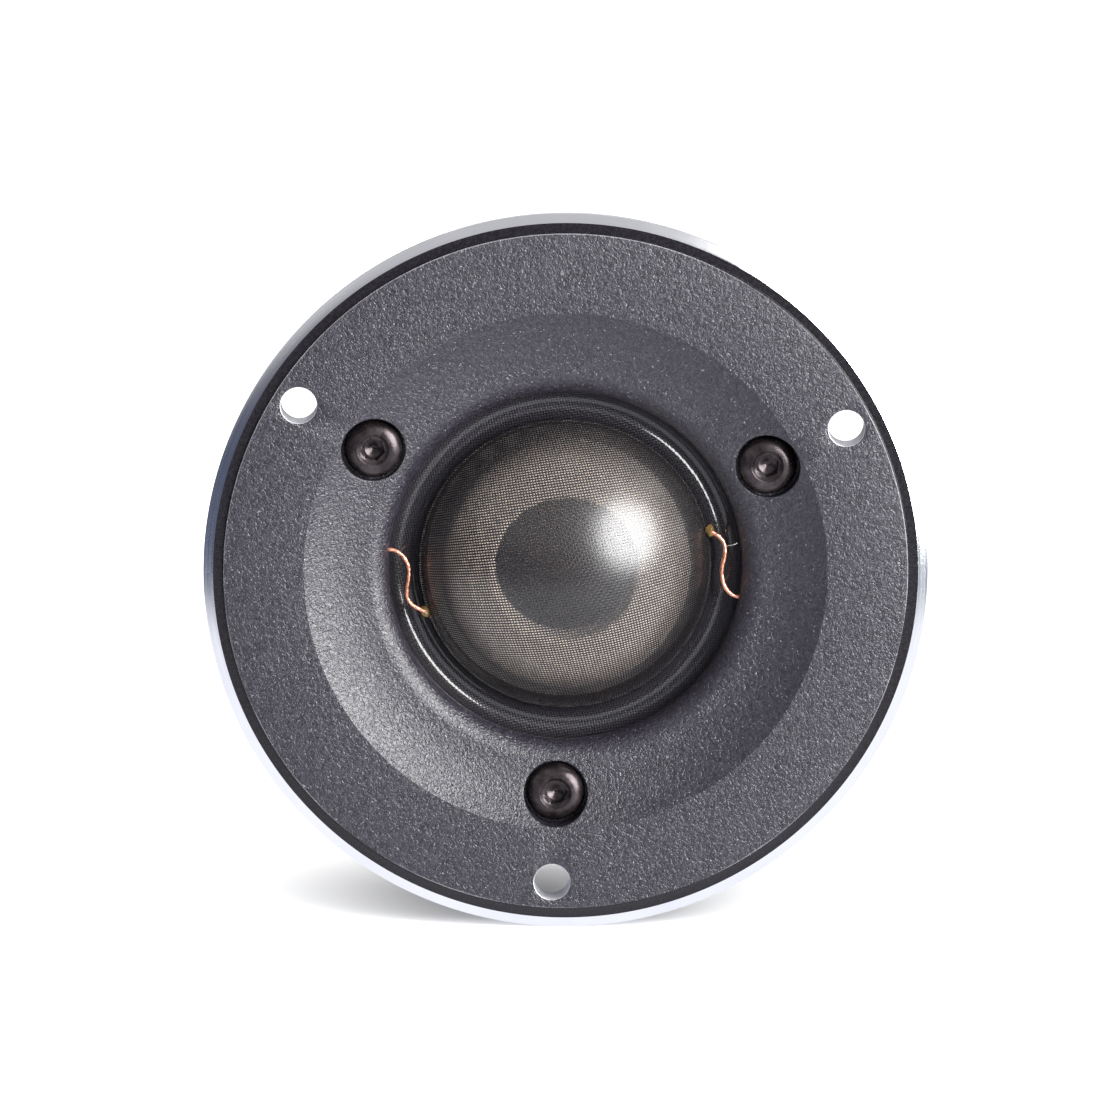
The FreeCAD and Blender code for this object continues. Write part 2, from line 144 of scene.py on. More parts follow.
# ---- sizes that only the looks need ----
# Half of a thread's width, as a share of the thread spacing, across and along.
dome_threads = (0.20, 0.31)
surround_threads = (0.32, 0.36)
weave_turn = math.radians(11.0)
weave_skew = math.radians(2.5)
column_pitch = 0.30
row_pitch = 0.284
cloth_proud = 0.06
foot_radius = dome_radius + 0.25
hole_edge = 0.06
cup_hole_edge = 0.15
cup_groove_places = (4.2, 3.2)
cup_groove_width, cup_groove_depth = 0.40, 0.18

# Each point is (out from the roll's middle, angle, height over the cloth), from the dome outwards.
lead_routes = {
    "left": [(-1.40, 198.6, 0.32), (-0.60, 196.0, 0.40), (-0.03, 192.4, 0.50), (-0.20, 188.4, 0.55),
             (-0.53, 184.4, 0.55), (-0.60, 180.6, 0.52), (-0.13, 177.0, 0.47), (0.70, 174.9, 0.43)],
    "right": [(-1.35, 13.2, 0.32), (-0.55, 11.0, 0.42), (-0.13, 7.4, 0.50), (-0.25, 3.4, 0.55),
              (-0.57, -0.6, 0.55), (-0.53, -4.6, 0.53), (-0.13, -8.2, 0.48), (0.65, -10.4, 0.43)],
}
lead_ends = {"left": 174.7, "right": -10.7}
whisker_route = [(15.75, 6.9, 0.62), (16.05, 7.15, 0.80), (16.45, 7.1, 0.86), (16.85, 7.45, 0.72)]
# Each point is (share of the head's radius, height over the board), from the rim inwards.
rivet_crown = [(1.0, 0.0), (1.0, 0.2), (0.97, 0.33), (0.86, 0.46), (0.66, 0.57), (0.50, 0.6),
               (0.42, 0.57), (0.34, 0.42), (0.28, 0.15)]


# ======== meshes ========

def around(radius, angle, y=0.0):
    """A point at a radius and an angle about the axis, seen from the front."""
    turn = math.radians(angle)
    return Vector((radius * math.cos(turn), y, radius * math.sin(turn)))


def add_object(name, data):
    """A new object in the scene."""
    obj = bpy.data.objects.new(name, data)
    bpy.context.scene.collection.objects.link(obj)
    return obj


def to_object(name, points, faces, materials, face_materials=None):
    """A mesh object from points in millimetres."""
    mesh = bpy.data.meshes.new(name)
    mesh.from_pydata([tuple(Vector(p) * MM) for p in points], [], faces)
    for material in materials:
        mesh.materials.append(material)
    if face_materials is not None:
        mesh.polygons.foreach_set("material_index", face_materials)
    mesh.update()
    return add_object(name, mesh)


def face_outwards(obj):
    """Turn every face so that it looks out of the solid."""
    work = bmesh.new()
    work.from_mesh(obj.data)
    bmesh.ops.recalc_face_normals(work, faces=work.faces)
    work.to_mesh(obj.data)
    work.free()
    return obj


def smooth(obj, angle):
    """Shade smooth, with edges sharper than the angle left hard."""
    obj.data.shade_smooth()
    obj.data.set_sharp_from_angle(angle=math.radians(angle))
    return obj


def rounded(corners, steps=4):
    """Round a closed outline. Each corner is (radius, y, rounding), and a rounding of 0 keeps it."""
    out = []
    count = len(corners)
    for index, (*corner, radius) in enumerate(corners):
        corner = Vector(corner)
        if radius == 0:
            out.append(corner[:])
            continue
        back = Vector(corners[index - 1][:2]) - corner
        ahead = Vector(corners[(index + 1) % count][:2]) - corner
        half = back.angle(ahead) / 2
        trim = min(radius / math.tan(half), 0.45 * back.length, 0.45 * ahead.length)
        radius = trim * math.tan(half)
        back.normalize()
        ahead.normalize()
        centre = corner + (back + ahead).normalized() * (radius / math.sin(half))
        start = corner + back * trim - centre
        end = corner + ahead * trim - centre
        first = math.atan2(start.y, start.x)
        sweep = math.remainder(math.atan2(end.y, end.x) - first, 2 * math.pi)
        for step in range(steps + 1):
            turn = first + sweep * step / steps
            out.append((centre + radius * Vector((math.cos(turn), math.sin(turn))))[:])
    return out


def bridge(a, b):
    """The faces between two rings of point numbers. A ring of one point is a pole."""
    if len(a) == len(b) == 1:
        return []
    count = max(len(a), len(b))
    faces = []
    for index in range(count):
        following = (index + 1) % count
        if len(a) == 1:
            faces.append((a[0], b[following], b[index]))
        elif len(b) == 1:
            faces.append((a[index], a[following], b[0]))
        else:
            faces.append((a[index], a[following], b[following], b[index]))
    return faces


def cap(points, faces, first, count, centre):
    """Close a ring of points with a fan about a new point."""
    middle = len(points)
    points.append(centre)
    for index in range(count):
        faces.append((middle, first + index, first + (index + 1) % count))


def turned(name, outline, material, segments=256, closed=True, pick=None):
    """Turn a section of (radius, y) points about the Y axis. pick gives a face's material."""
    count = len(outline)
    points, faces, picks = [], [], []
    rings = []
    for radius, y in outline:
        if radius < 1e-6:
            rings.append([len(points)])
            points.append((0, y, 0))
            continue
        rings.append(list(range(len(points), len(points) + segments)))
        for index in range(segments):
            points.append(around(radius, 360.0 * index / segments, y))
    pairs = list(zip(range(count), range(1, count)))
    if closed:
        pairs.append((count - 1, 0))
    for first, second in pairs:
        (radius, y), (next_radius, next_y) = outline[first], outline[second]
        slot = pick((radius + next_radius) / 2, (y + next_y) / 2) if pick else 0
        strip = bridge(rings[first], rings[second])
        faces += strip
        picks += [slot] * len(strip)
    materials = material if isinstance(material, list) else [material]
    return to_object(name, points, faces, materials, picks)


def cut(obj, cutters):
    """Cut the cutters from obj. The new walls keep the cutters' material."""
    for cutter in cutters:
        modifier = obj.modifiers.new("cut", "BOOLEAN")
        modifier.operation = "DIFFERENCE"
        modifier.solver = "MANIFOLD"
        modifier.material_mode = "TRANSFER"
        modifier.object = cutter
    graph = bpy.context.evaluated_depsgraph_get()
    mesh = bpy.data.meshes.new_from_object(obj.evaluated_get(graph))
    obj.modifiers.clear()
    obj.data = mesh
    for cutter in cutters:
        bpy.data.objects.remove(cutter)
    return obj


def round_solid(name, x, z, rings, material, segments=96):
    """A round solid about an axis along Y at (x, z). Each ring is (radius, y or a rule for y)."""
    points, faces = [], []
    for radius, height in rings:
        for index in range(segments):
            turn = 2 * math.pi * index / segments
            px = x + radius * math.cos(turn)
            pz = z + radius * math.sin(turn)
            y = height(math.hypot(px, pz)) if callable(height) else height
            points.append((px, y, pz))
    for ring in range(len(rings) - 1):
        first = ring * segments
        for index in range(segments):
            following = (index + 1) % segments
            a, b = first + index, first + following
            faces.append((a, b, b + segments))
            faces.append((a, b + segments, a + segments))
    for ring in (0, len(rings) - 1):
        first = ring * segments
        mean = sum(points[first + index][1] for index in range(segments)) / segments
        cap(points, faces, first, segments, (x, mean, z))
    return face_outwards(to_object(name, points, faces, [material]))


def edge_rings(radius, edge, mouth_y, inwards=1):
    """Rings that round a hole's mouth. mouth_y is a number, or a rule of the distance from the axis."""
    rings = []
    for turn in [math.radians(degrees) for degrees in (20, 40, 60, 80)]:
        drop = inwards * edge * (1 - math.cos(turn))
        height = (lambda r, drop=drop: mouth_y(r) + drop) if callable(mouth_y) else mouth_y + drop
        rings.append((radius + edge * (1 - math.sin(turn)), height))
    return rings


# ======== node materials ========

class Nodes:
    """Short ways to build a material's nodes."""

    def __init__(self, name):
        self.material = bpy.data.materials.new(name)
        self.material.use_nodes = True
        self.tree = self.material.node_tree
        self.tree.nodes.clear()
        self.out = self.node("ShaderNodeOutputMaterial")
        self.coords = self.node("ShaderNodeTexCoord").outputs["Object"]

    def link(self, value, socket):
        if isinstance(value, bpy.types.NodeSocket):
            self.tree.links.new(value, socket)
        elif value is not None:
            socket.default_value = value

    def node(self, kind, **values):
        """A new node. Each keyword is an input socket's name, with _ for a space."""
        node = self.tree.nodes.new(kind)
        for name, value in values.items():
            self.link(value, node.inputs[name.replace("_", " ")])
        return node

    def math(self, operation, a, b=None):
        node = self.node("ShaderNodeMath")
        node.operation = operation
        for value, socket in zip((a, b), node.inputs):
            self.link(value, socket)
        return node.outputs[0]

    def add(self, a, b):
        return self.math("ADD", a, b)

    def sub(self, a, b):
        return self.math("SUBTRACT", a, b)

    def mul(self, a, b):
        return self.math("MULTIPLY", a, b)

    def step(self, value, start, end, low_value=0.0, high_value=1.0):
        """Smooth change from low_value to high_value as value goes from start to end."""
        node = self.node("ShaderNodeMapRange", Value=value, From_Min=start, From_Max=end,
                         To_Min=low_value, To_Max=high_value)
        node.interpolation_type = "SMOOTHSTEP"
        return node.outputs["Result"]

    def split(self, vector):
        return self.node("ShaderNodeSeparateXYZ", Vector=vector).outputs

    def join(self, x, y, z):
        return self.node("ShaderNodeCombineXYZ", X=x, Y=y, Z=z).outputs[0]

    def noise(self, vector, scale, detail=2.0, roughness=0.5, distortion=0.0):
        node = self.node("ShaderNodeTexNoise", Vector=vector, Scale=scale, Detail=detail,
                         Roughness=roughness, Distortion=distortion)
        return node.outputs["Fac"]

    def mix(self, factor, first, second):
        node = self.node("ShaderNodeMix")
        node.data_type = "RGBA"
        self.link(factor, node.inputs["Factor"])
        for value, name in ((first, "A"), (second, "B")):
            socket = [s for s in node.inputs if s.name == name and s.type == "RGBA"][0]
            self.link(value, socket)
        return [s for s in node.outputs if s.type == "RGBA"][0]

    def bump(self, height, distance):
        return self.node("ShaderNodeBump", Height=height, Distance=distance * MM).outputs["Normal"]

    def principled(self, **values):
        return self.node("ShaderNodeBsdfPrincipled", **values)

    def shader_mix(self, factor, first, second):
        node = self.node("ShaderNodeMixShader", Fac=factor)
        self.tree.links.new(first, node.inputs[1])
        self.tree.links.new(second, node.inputs[2])
        return node.outputs[0]

    def surface(self, **values):
        """Finish the material as one Principled shader."""
        return self.finish(self.principled(**values).outputs[0])

    def finish(self, shader):
        """Join the last shader to the output, and return the material."""
        self.tree.links.new(shader, self.out.inputs["Surface"])
        return self.material

    def axis_radius(self):
        """The distance from the Y axis, in metres."""
        x, y, z = self.split(self.coords)
        return self.math("SQRT", self.add(self.mul(x, x), self.mul(z, z)))


def rgb(red, green, blue):
    return (red, green, blue, 1.0)


def powder_coat():
    """Black textured powder coat: crinkled grain with painted highlights on its crests, scattered specks that
    are painted glints, and a painted highlight along the face's outer edge.
    """
    n = Nodes("powder_coat")
    pebbles = n.noise(n.coords, 3000, 2.5, 0.6, 0.8)
    fine = n.noise(n.coords, 6500, 2.0, 0.6)
    swell = n.noise(n.coords, 1100, 2.0)
    height = n.add(n.add(pebbles, n.mul(fine, 0.35)), n.mul(swell, 0.35))
    normal = n.bump(height, 0.115)
    # The grain's crests are lighter: painted highlights.
    painted_crest_light = n.step(n.add(n.mul(pebbles, 0.7), n.mul(fine, 0.3)), 0.38, 0.66)
    # Scattered bright specks: painted glints.
    glint_noise = n.noise(n.coords, 4200, 1.0, 0.5)
    painted_glint = n.step(glint_noise, 0.69, 0.77)
    clouds = n.noise(n.coords, 60, 3.0)
    base = n.mix(clouds, rgb(0.0060, 0.0050, 0.0080), rgb(0.0088, 0.0076, 0.0116))
    base = n.mix(painted_crest_light, base, rgb(0.0255, 0.0220, 0.0330))
    base = n.mix(painted_glint, base, rgb(0.15, 0.145, 0.17))
    radius = n.axis_radius()
    _, y, _ = n.split(n.coords)
    # A thin lighter line round the face's outer edge: a painted highlight on its rounded edge.
    outside = n.step(radius, (face_radius - 0.10) * MM, (face_radius - 0.03) * MM)
    inside = n.step(radius, (face_radius + 0.08) * MM, (face_radius + 0.03) * MM)
    on_face = n.step(y, (face_y + 0.15) * MM, (face_y + 0.10) * MM)
    painted_edge_highlight = n.mul(n.mul(n.mul(outside, inside), on_face), n.step(clouds, 0.35, 0.6))
    base = n.mix(n.mul(painted_edge_highlight, 0.8), base, rgb(0.20, 0.20, 0.22))
    rough = n.step(swell, 0.3, 0.7, 0.31, 0.40)
    return n.surface(Base_Color=base, Roughness=rough, Normal=normal, Specular_IOR_Level=0.69)


def ledge_coat_and_shade():
    """The ledge round the face: a smoother coat with fine turning lines, blacker than the face as painted
    shade in the recessed step.
    """
    n = Nodes("ledge_coat_and_shade")
    grain = n.noise(n.coords, 2500, 3.0, 0.6)
    lines = n.noise(n.join(n.mul(n.axis_radius(), 9000.0), 0.0, 0.0), 1.0, 2.0)
    # Blacker than the face coat: painted shade in the recessed ledge.
    base = n.mix(grain, rgb(0.0040, 0.0034, 0.0048), rgb(0.0105, 0.0092, 0.0120))
    rough = n.step(grain, 0.3, 0.7, 0.20, 0.30)
    normal = n.bump(n.add(grain, n.mul(lines, 0.4)), 0.010)
    return n.surface(Base_Color=base, Roughness=rough, Normal=normal, Specular_IOR_Level=0.5)


def turned_metal(name, turning, dark, light):
    """Machined metal with turning marks round the axis."""
    n = Nodes(name)
    x, y, z = n.split(n.coords)
    radius = n.axis_radius()
    angle = n.math("ARCTAN2", z, x)
    along = n.join(n.mul(radius, 16000.0), n.mul(angle, 3.0), n.mul(y, 16000.0))
    lines = n.noise(along, 1.0, 3.0, 0.6)
    coarse = n.join(n.mul(radius, 4000.0), n.mul(angle, 1.5), n.mul(y, 4000.0))
    bands = n.noise(coarse, 1.0, 2.0)
    normal = n.bump(n.add(lines, n.mul(bands, 0.8)), 0.006 * turning)
    stains = n.noise(n.coords, 130, 4.0, 0.6)
    base = n.mix(stains, dark, light)
    rough = n.step(bands, 0.3, 0.7, 0.12, 0.20)
    return n.surface(Base_Color=base, Metallic=1.0, Roughness=rough, Normal=normal)


def black_steel():
    """Black-oxide screw steel: brownish black and satin, with lighter patches."""
    n = Nodes("black_steel")
    grain = n.noise(n.coords, 2600, 3.0, 0.6)
    normal = n.bump(grain, 0.008)
    patches = n.noise(n.coords, 700, 4.0, 0.6)
    base = n.mix(n.step(patches, 0.35, 0.75), rgb(0.024, 0.018, 0.020), rgb(0.068, 0.055, 0.058))
    rough = n.step(patches, 0.3, 0.7, 0.23, 0.33)
    return n.surface(Base_Color=base, Metallic=0.75, Roughness=rough, Normal=normal,
                     Specular_IOR_Level=0.6)


def weave_nodes(n, threads):
    """A plain weave. Returns its height and its openings. threads holds the threads' half widths."""
    half_u, half_v = threads
    uv = n.node("ShaderNodeUVMap")
    uv.uv_map = "weave"
    u, v, _ = n.split(uv.outputs["UV"])

    def parts(value):
        cell = n.math("FLOOR", value)
        return cell, n.math("ABSOLUTE", n.sub(n.sub(value, cell), 0.5))

    cell_u, off_u = parts(u)
    cell_v, off_v = parts(v)
    flip_u = n.math("COSINE", n.mul(cell_u, math.pi))
    flip_v = n.math("COSINE", n.mul(cell_v, math.pi))
    wave_v = n.mul(n.math("COSINE", n.mul(n.sub(v, 0.5), math.pi)), flip_u)
    wave_u = n.mul(n.math("COSINE", n.mul(n.sub(u, 0.5), math.pi)), flip_v)

    def crown(off, half):
        share = n.math("DIVIDE", off, half)
        return n.math("SQRT", n.math("MAXIMUM", n.sub(1.0, n.mul(share, share)), 0.0))

    warp = n.add(crown(off_u, half_u), n.mul(wave_v, 0.45))
    weft = n.add(crown(off_v, half_v), n.mul(wave_u, -0.45))
    in_warp = n.math("LESS_THAN", off_u, half_u)
    in_weft = n.math("LESS_THAN", off_v, half_v)
    height = n.math("MAXIMUM", n.mul(warp, in_warp), n.mul(weft, in_weft))
    blur = 0.03
    opening = n.mul(n.step(off_u, half_u - blur, half_u + blur), n.step(off_v, half_v - blur, half_v + blur))
    return height, opening


def dome_cloth():
    """Open coated cloth: dark glossy threads, with a clear film over the openings."""
    film_roughness, film_ior = 0.27, 1.55
    n = Nodes("dome_cloth")
    height, opening = weave_nodes(n, dome_threads)
    normal = n.bump(height, 0.035)
    soft = n.bump(n.add(n.noise(n.coords, 600, 2.0), n.mul(height, 0.20)), 0.010)
    wander = n.noise(n.coords, 420, 3.0)
    base = n.mix(wander, rgb(0.0035, 0.0030, 0.0042), rgb(0.0085, 0.0072, 0.0088))
    thread = n.principled(Base_Color=base, Roughness=0.45, Normal=normal, Specular_IOR_Level=0.3,
                          Coat_Weight=1.0, Coat_Roughness=film_roughness, Coat_IOR=film_ior, Coat_Normal=soft)
    film = n.node("ShaderNodeBsdfGlossy", Roughness=film_roughness, Normal=soft)
    clear = n.node("ShaderNodeBsdfTransparent")
    fresnel = n.node("ShaderNodeFresnel", IOR=film_ior)
    hole = n.shader_mix(fresnel.outputs[0], clear.outputs[0], film.outputs[0])
    woven = n.shader_mix(opening, thread.outputs[0], hole)
    lit_through = n.node("ShaderNodeBsdfTransparent", Color=rgb(0.60, 0.58, 0.56))
    path = n.node("ShaderNodeLightPath")
    return n.finish(n.shader_mix(path.outputs["Is Shadow Ray"], woven, lit_through.outputs[0]))


def surround_cloth():
    """The same cloth with its openings sealed by a thick glossy coat, and painted highlights on its thread
    crowns.
    """
    n = Nodes("surround_cloth")
    height, _ = weave_nodes(n, surround_threads)
    normal = n.bump(height, 0.035)
    soft = n.bump(n.add(n.noise(n.coords, 500, 2.0), n.mul(height, 0.10)), 0.014)
    wander = n.noise(n.coords, 420, 3.0)
    base = n.mix(wander, rgb(0.0035, 0.0030, 0.0045), rgb(0.0085, 0.0075, 0.0100))
    # Lighter thread crowns: painted highlights on the weave.
    base = n.mix(n.step(height, 0.95, 1.42), base, rgb(0.030, 0.027, 0.033))
    return n.surface(Base_Color=base, Roughness=0.36, Normal=normal, Specular_IOR_Level=0.22,
                     Coat_Weight=1.0, Coat_Roughness=0.07, Coat_Normal=soft)


def wool_felt():
    """Pale wool felt, with painted shade that darkens it towards its outer edge, under the dome's foot."""
    n = Nodes("felt")
    fibres = n.noise(n.coords, 3000, 4.0, 0.7, 1.5)
    clumps = n.noise(n.coords, 500, 4.0, 0.6)
    tufts = n.add(n.mul(fibres, 0.6), n.mul(clumps, 0.4))
    base = n.mix(tufts, rgb(0.62, 0.51, 0.43), rgb(0.92, 0.79, 0.68))
    # Painted shade: darker towards the felt's outer edge, under the dome's foot.
    edge = n.step(n.axis_radius(), 9.6 * MM, 12.0 * MM)
    base = n.mix(n.mul(edge, 0.72), base, rgb(0.16, 0.13, 0.12))
    normal = n.bump(n.add(fibres, clumps), 0.15)
    return n.surface(Base_Color=base, Roughness=0.95, Normal=normal, Sheen_Weight=0.3)


def copper():
    """Bare copper wire with streaks."""
    n = Nodes("copper")
    streaks = n.noise(n.coords, 1500, 4.0, 0.6)
    base = n.mix(streaks, rgb(0.66, 0.20, 0.11), rgb(0.95, 0.50, 0.36))
    normal = n.bump(streaks, 0.02)
    rough = n.step(streaks, 0.3, 0.7, 0.26, 0.42)
    return n.surface(Base_Color=base, Metallic=1.0, Roughness=rough, Normal=normal)


def glue():
    """Clear amber glue with darker lumps."""
    n = Nodes("amber_glue")
    lumps = n.noise(n.coords, 1400, 3.0)
    base = n.mix(lumps, rgb(0.05, 0.035, 0.008), rgb(0.26, 0.15, 0.05))
    return n.surface(Base_Color=base, Roughness=0.18, Normal=n.bump(lumps, 0.04),
                     Transmission_Weight=0.35, IOR=1.5)


def grained(name, dark, light, rough_low, rough_high, scale, relief, metallic, blotches):
    """An even surface with fine grain. blotches is how much larger its stains are than its grain."""
    n = Nodes(name)
    grain = n.noise(n.coords, scale, 4.0, 0.6)
    base = n.mix(n.noise(n.coords, scale / blotches, 3.0), dark, light)
    rough = n.step(grain, 0.3, 0.7, rough_low, rough_high)
    return n.surface(Base_Color=base, Metallic=metallic, Roughness=rough, Normal=n.bump(grain, relief))


def metal(name, dark, light, rough_low, rough_high, scale=900, relief=0.01):
    return grained(name, dark, light, rough_low, rough_high, scale, relief, 1.0, 6)


def plastic(name, dark, light, rough_low, rough_high, scale=1500, relief=0.02):
    return grained(name, dark, light, rough_low, rough_high, scale, relief, 0.0, 12)


def anodised():
    """Black anodised aluminium, with turning lines under the film and a few light rubs."""
    n = Nodes("cup_coat")
    x, y, z = n.split(n.coords)
    radius = n.axis_radius()
    angle = n.math("ARCTAN2", z, x)
    lines = n.noise(n.join(n.mul(radius, 7000.0), n.mul(angle, 2.0), n.mul(y, 7000.0)), 1.0, 3.0, 0.6)
    grain = n.noise(n.coords, 2200, 3.0, 0.6)
    rubs = n.step(n.noise(n.coords, 240, 5.0, 0.7, 1.2), 0.62, 0.74)
    base = n.mix(n.mul(lines, 0.8), rgb(0.008, 0.008, 0.009), rgb(0.022, 0.022, 0.025))
    base = n.mix(n.mul(rubs, 0.5), base, rgb(0.045, 0.045, 0.05))
    normal = n.bump(n.add(lines, n.mul(grain, 0.5)), 0.016)
    rough = n.step(lines, 0.3, 0.7, 0.26, 0.40)
    return n.surface(Base_Color=base, Roughness=rough, Normal=normal, Specular_IOR_Level=0.7)


coat = powder_coat()
aluminium = turned_metal("bare_aluminium", 1.0, rgb(0.70, 0.71, 0.73), rgb(0.86, 0.86, 0.87))
hole_wall = metal("hole_wall", rgb(0.58, 0.58, 0.60), rgb(0.82, 0.82, 0.84), 0.42, 0.60, 1600, 0.02)
ledge_black_and_shade = ledge_coat_and_shade()
screw_metal = black_steel()
cloth = dome_cloth()
roll_cloth = surround_cloth()
felt = wool_felt()
copper_metal = copper()
glue_material = glue()
dull_copper = metal("dull_copper", rgb(0.050, 0.024, 0.018), rgb(0.11, 0.052, 0.036), 0.40, 0.60)
steel = metal("plated_steel", rgb(0.42, 0.42, 0.40), rgb(0.62, 0.61, 0.58), 0.28, 0.45)
nickel = metal("magnet_nickel", rgb(0.50, 0.49, 0.47), rgb(0.64, 0.63, 0.60), 0.22, 0.36)
tin = metal("tinned_brass", rgb(0.66, 0.65, 0.60), rgb(0.82, 0.80, 0.75), 0.24, 0.40, 700, 0.02)
foil = metal("aluminium_foil", rgb(0.66, 0.66, 0.67), rgb(0.80, 0.80, 0.81), 0.25, 0.40)
turned_steel = turned_metal("turned_steel", 1.6, rgb(0.46, 0.46, 0.45), rgb(0.60, 0.60, 0.58))
cup_coat = anodised()
ring_plastic = plastic("ring_plastic", rgb(0.012, 0.012, 0.013), rgb(0.025, 0.025, 0.026), 0.45, 0.60)
board_laminate = plastic("board", rgb(0.030, 0.026, 0.020), rgb(0.060, 0.050, 0.036), 0.40, 0.60, 1200, 0.03)
wire_red = plastic("wire_red", rgb(0.35, 0.02, 0.015), rgb(0.50, 0.04, 0.03), 0.30, 0.45, 900, 0.02)
wire_black = plastic("wire_black", rgb(0.012, 0.012, 0.012), rgb(0.03, 0.03, 0.03), 0.30, 0.45, 900, 0.02)


# ======== faceplate ========

# Two arcs make the waveguide. They meet at dish_radius, where both slope by dish_slope.
level = math.radians(dish_slope)
lip_curve = (dish_radius - throat_radius) / (math.sin(math.radians(lip_slope)) - math.sin(level))
dish_curve = (mouth_radius - dish_radius) / (math.sin(math.radians(mouth_slope)) - math.sin(level))
dish_y = face_y + dish_curve * (math.cos(level) - math.cos(math.radians(mouth_slope)))


def guide_point(curve, slope):
    """The point (radius, y) of one of the two arcs that has this slope. The lip's curve is negative."""
    turn = math.radians(slope)
    radius = dish_radius + curve * (math.sin(turn) - math.sin(level))
    return (radius, dish_y - curve * (math.cos(level) - math.cos(turn)))


def front_height(radius):
    """The faceplate's front surface at a radius."""
    if radius >= mouth_radius:
        return face_y
    sine = math.sin(level) + (radius - dish_radius) / dish_curve
    turn = math.asin(max(-1.0, min(1.0, sine)))
    return dish_y - dish_curve * (math.cos(level) - math.cos(turn))


def faceplate():
    """The flange: a turned body with the waveguide, cut by its mounting holes and counterbores."""
    land_y = face_y + ledge_depth + bevel_depth
    ledge_y = face_y + ledge_depth
    throat_y = guide_point(-lip_curve, lip_slope)[1]
    front = [guide_point(-lip_curve, lip_slope + (dish_slope - lip_slope) * i / 24) for i in range(25)]
    front += [guide_point(dish_curve, dish_slope + (mouth_slope - dish_slope) * i / 20) for i in range(1, 20)]
    corners = [
        (mouth_radius, face_y, 0.12),
        (face_radius, face_y, 0.10),
        (face_radius + 0.12, ledge_y, 0.04),
        (ledge_radius, ledge_y, 0.03),
        (flange_radius, land_y, 0.08),
        (flange_radius, land_y + rim_land, 0.06),
        (flange_radius - 0.8, 0, 0.1),
        (body_radius, 0, 0.1),
        (body_radius, plate_y, 0.1),
        (recess_radius, plate_y, 0.05),
        (recess_radius, throat_y + lip_edge, 0.05),
        (throat_radius, throat_y + lip_edge, 0.03),
    ]
    outline = rounded([(*point, 0) for point in front] + corners)

    def pick(radius, y):
        if radius > ledge_radius - 0.01 and ledge_y + 0.004 < y < -0.01:
            return finish_slots.index(aluminium)
        on_ledge = radius > face_radius + 0.06 and y < ledge_y + 0.1
        return finish_slots.index(ledge_black_and_shade if on_ledge else coat)

    finish_slots = [coat, aluminium, hole_wall, ledge_black_and_shade]
    plate = turned("faceplate_turned", outline, finish_slots, 320, True, pick)
    face_outwards(plate)
    cutters = []
    for number, angle in enumerate(pattern_angles):
        hole = around(hole_circle, angle)
        rings = [(hole_radius + 0.9, face_y - 0.3)] + edge_rings(hole_radius, hole_edge, face_y)
        rings += [(hole_radius, face_y + hole_edge + 0.05), (hole_radius, -hole_edge)]
        rings += [(hole_radius + hole_edge, 0.0), (hole_radius + hole_edge + 0.5, 0.5)]
        cutters.append(round_solid(f"hole_{number}", hole.x, hole.z, rings, hole_wall))
        screw = around(screw_circle, angle)
        rings = [(counterbore_radius + 1.2, lambda r: front_height(r) - 0.4)]
        rings += edge_rings(counterbore_radius, hole_edge, front_height)
        rings += [(counterbore_radius, lambda r: front_height(r) + hole_edge + 0.05)]
        rings += [(counterbore_radius, counterbore_y), (screw_hole_radius, counterbore_y)]
        rings += [(screw_hole_radius, plate_y + 0.5)]
        cutters.append(round_solid(f"bore_{number}", screw.x, screw.z, rings, coat))
    cut(plate, cutters)
    return smooth(plate, 32)


# ======== camera, floor and light ========

camera_distance = 1000.0
camera_elevation = math.radians(9.9)
camera_azimuth = math.radians(-0.5)
field_width = 106.2
aim_right, aim_up = -1.52, 2.20
sensor_width = 36.0


def add_camera():
    level_part = math.cos(camera_elevation)
    back = Vector((math.sin(camera_azimuth) * level_part,
                   -math.cos(camera_azimuth) * level_part, math.sin(camera_elevation)))
    right = Vector((math.cos(camera_azimuth), math.sin(camera_azimuth), 0))
    up = right.cross(-back)
    target = Vector((0, face_y, 0)) + right * aim_right + up * aim_up
    camera = add_object("camera", bpy.data.cameras.new("camera"))
    camera.location = (target + back * camera_distance) * MM
    camera.rotation_mode = "QUATERNION"
    camera.rotation_quaternion = (-back).to_track_quat("-Z", "Y")
    camera.data.sensor_width = sensor_width
    camera.data.lens = sensor_width * camera_distance / field_width
    camera.data.clip_start = 0.01
    camera.data.clip_end = 30.0
    bpy.context.scene.camera = camera


def area_light(name, direction, distance, size, power, colour=(1, 1, 1)):
    """A round soft light that faces the origin."""
    light = bpy.data.lights.new(name, "AREA")
    light.shape = "ELLIPSE"
    light.size = size
    light.size_y = size
    light.energy = power
    light.color = colour
    obj = add_object(name, light)
    way = Vector(direction).normalized()
    obj.location = way * distance
    obj.rotation_mode = "QUATERNION"
    obj.rotation_quaternion = way.to_track_quat("Z", "Y")


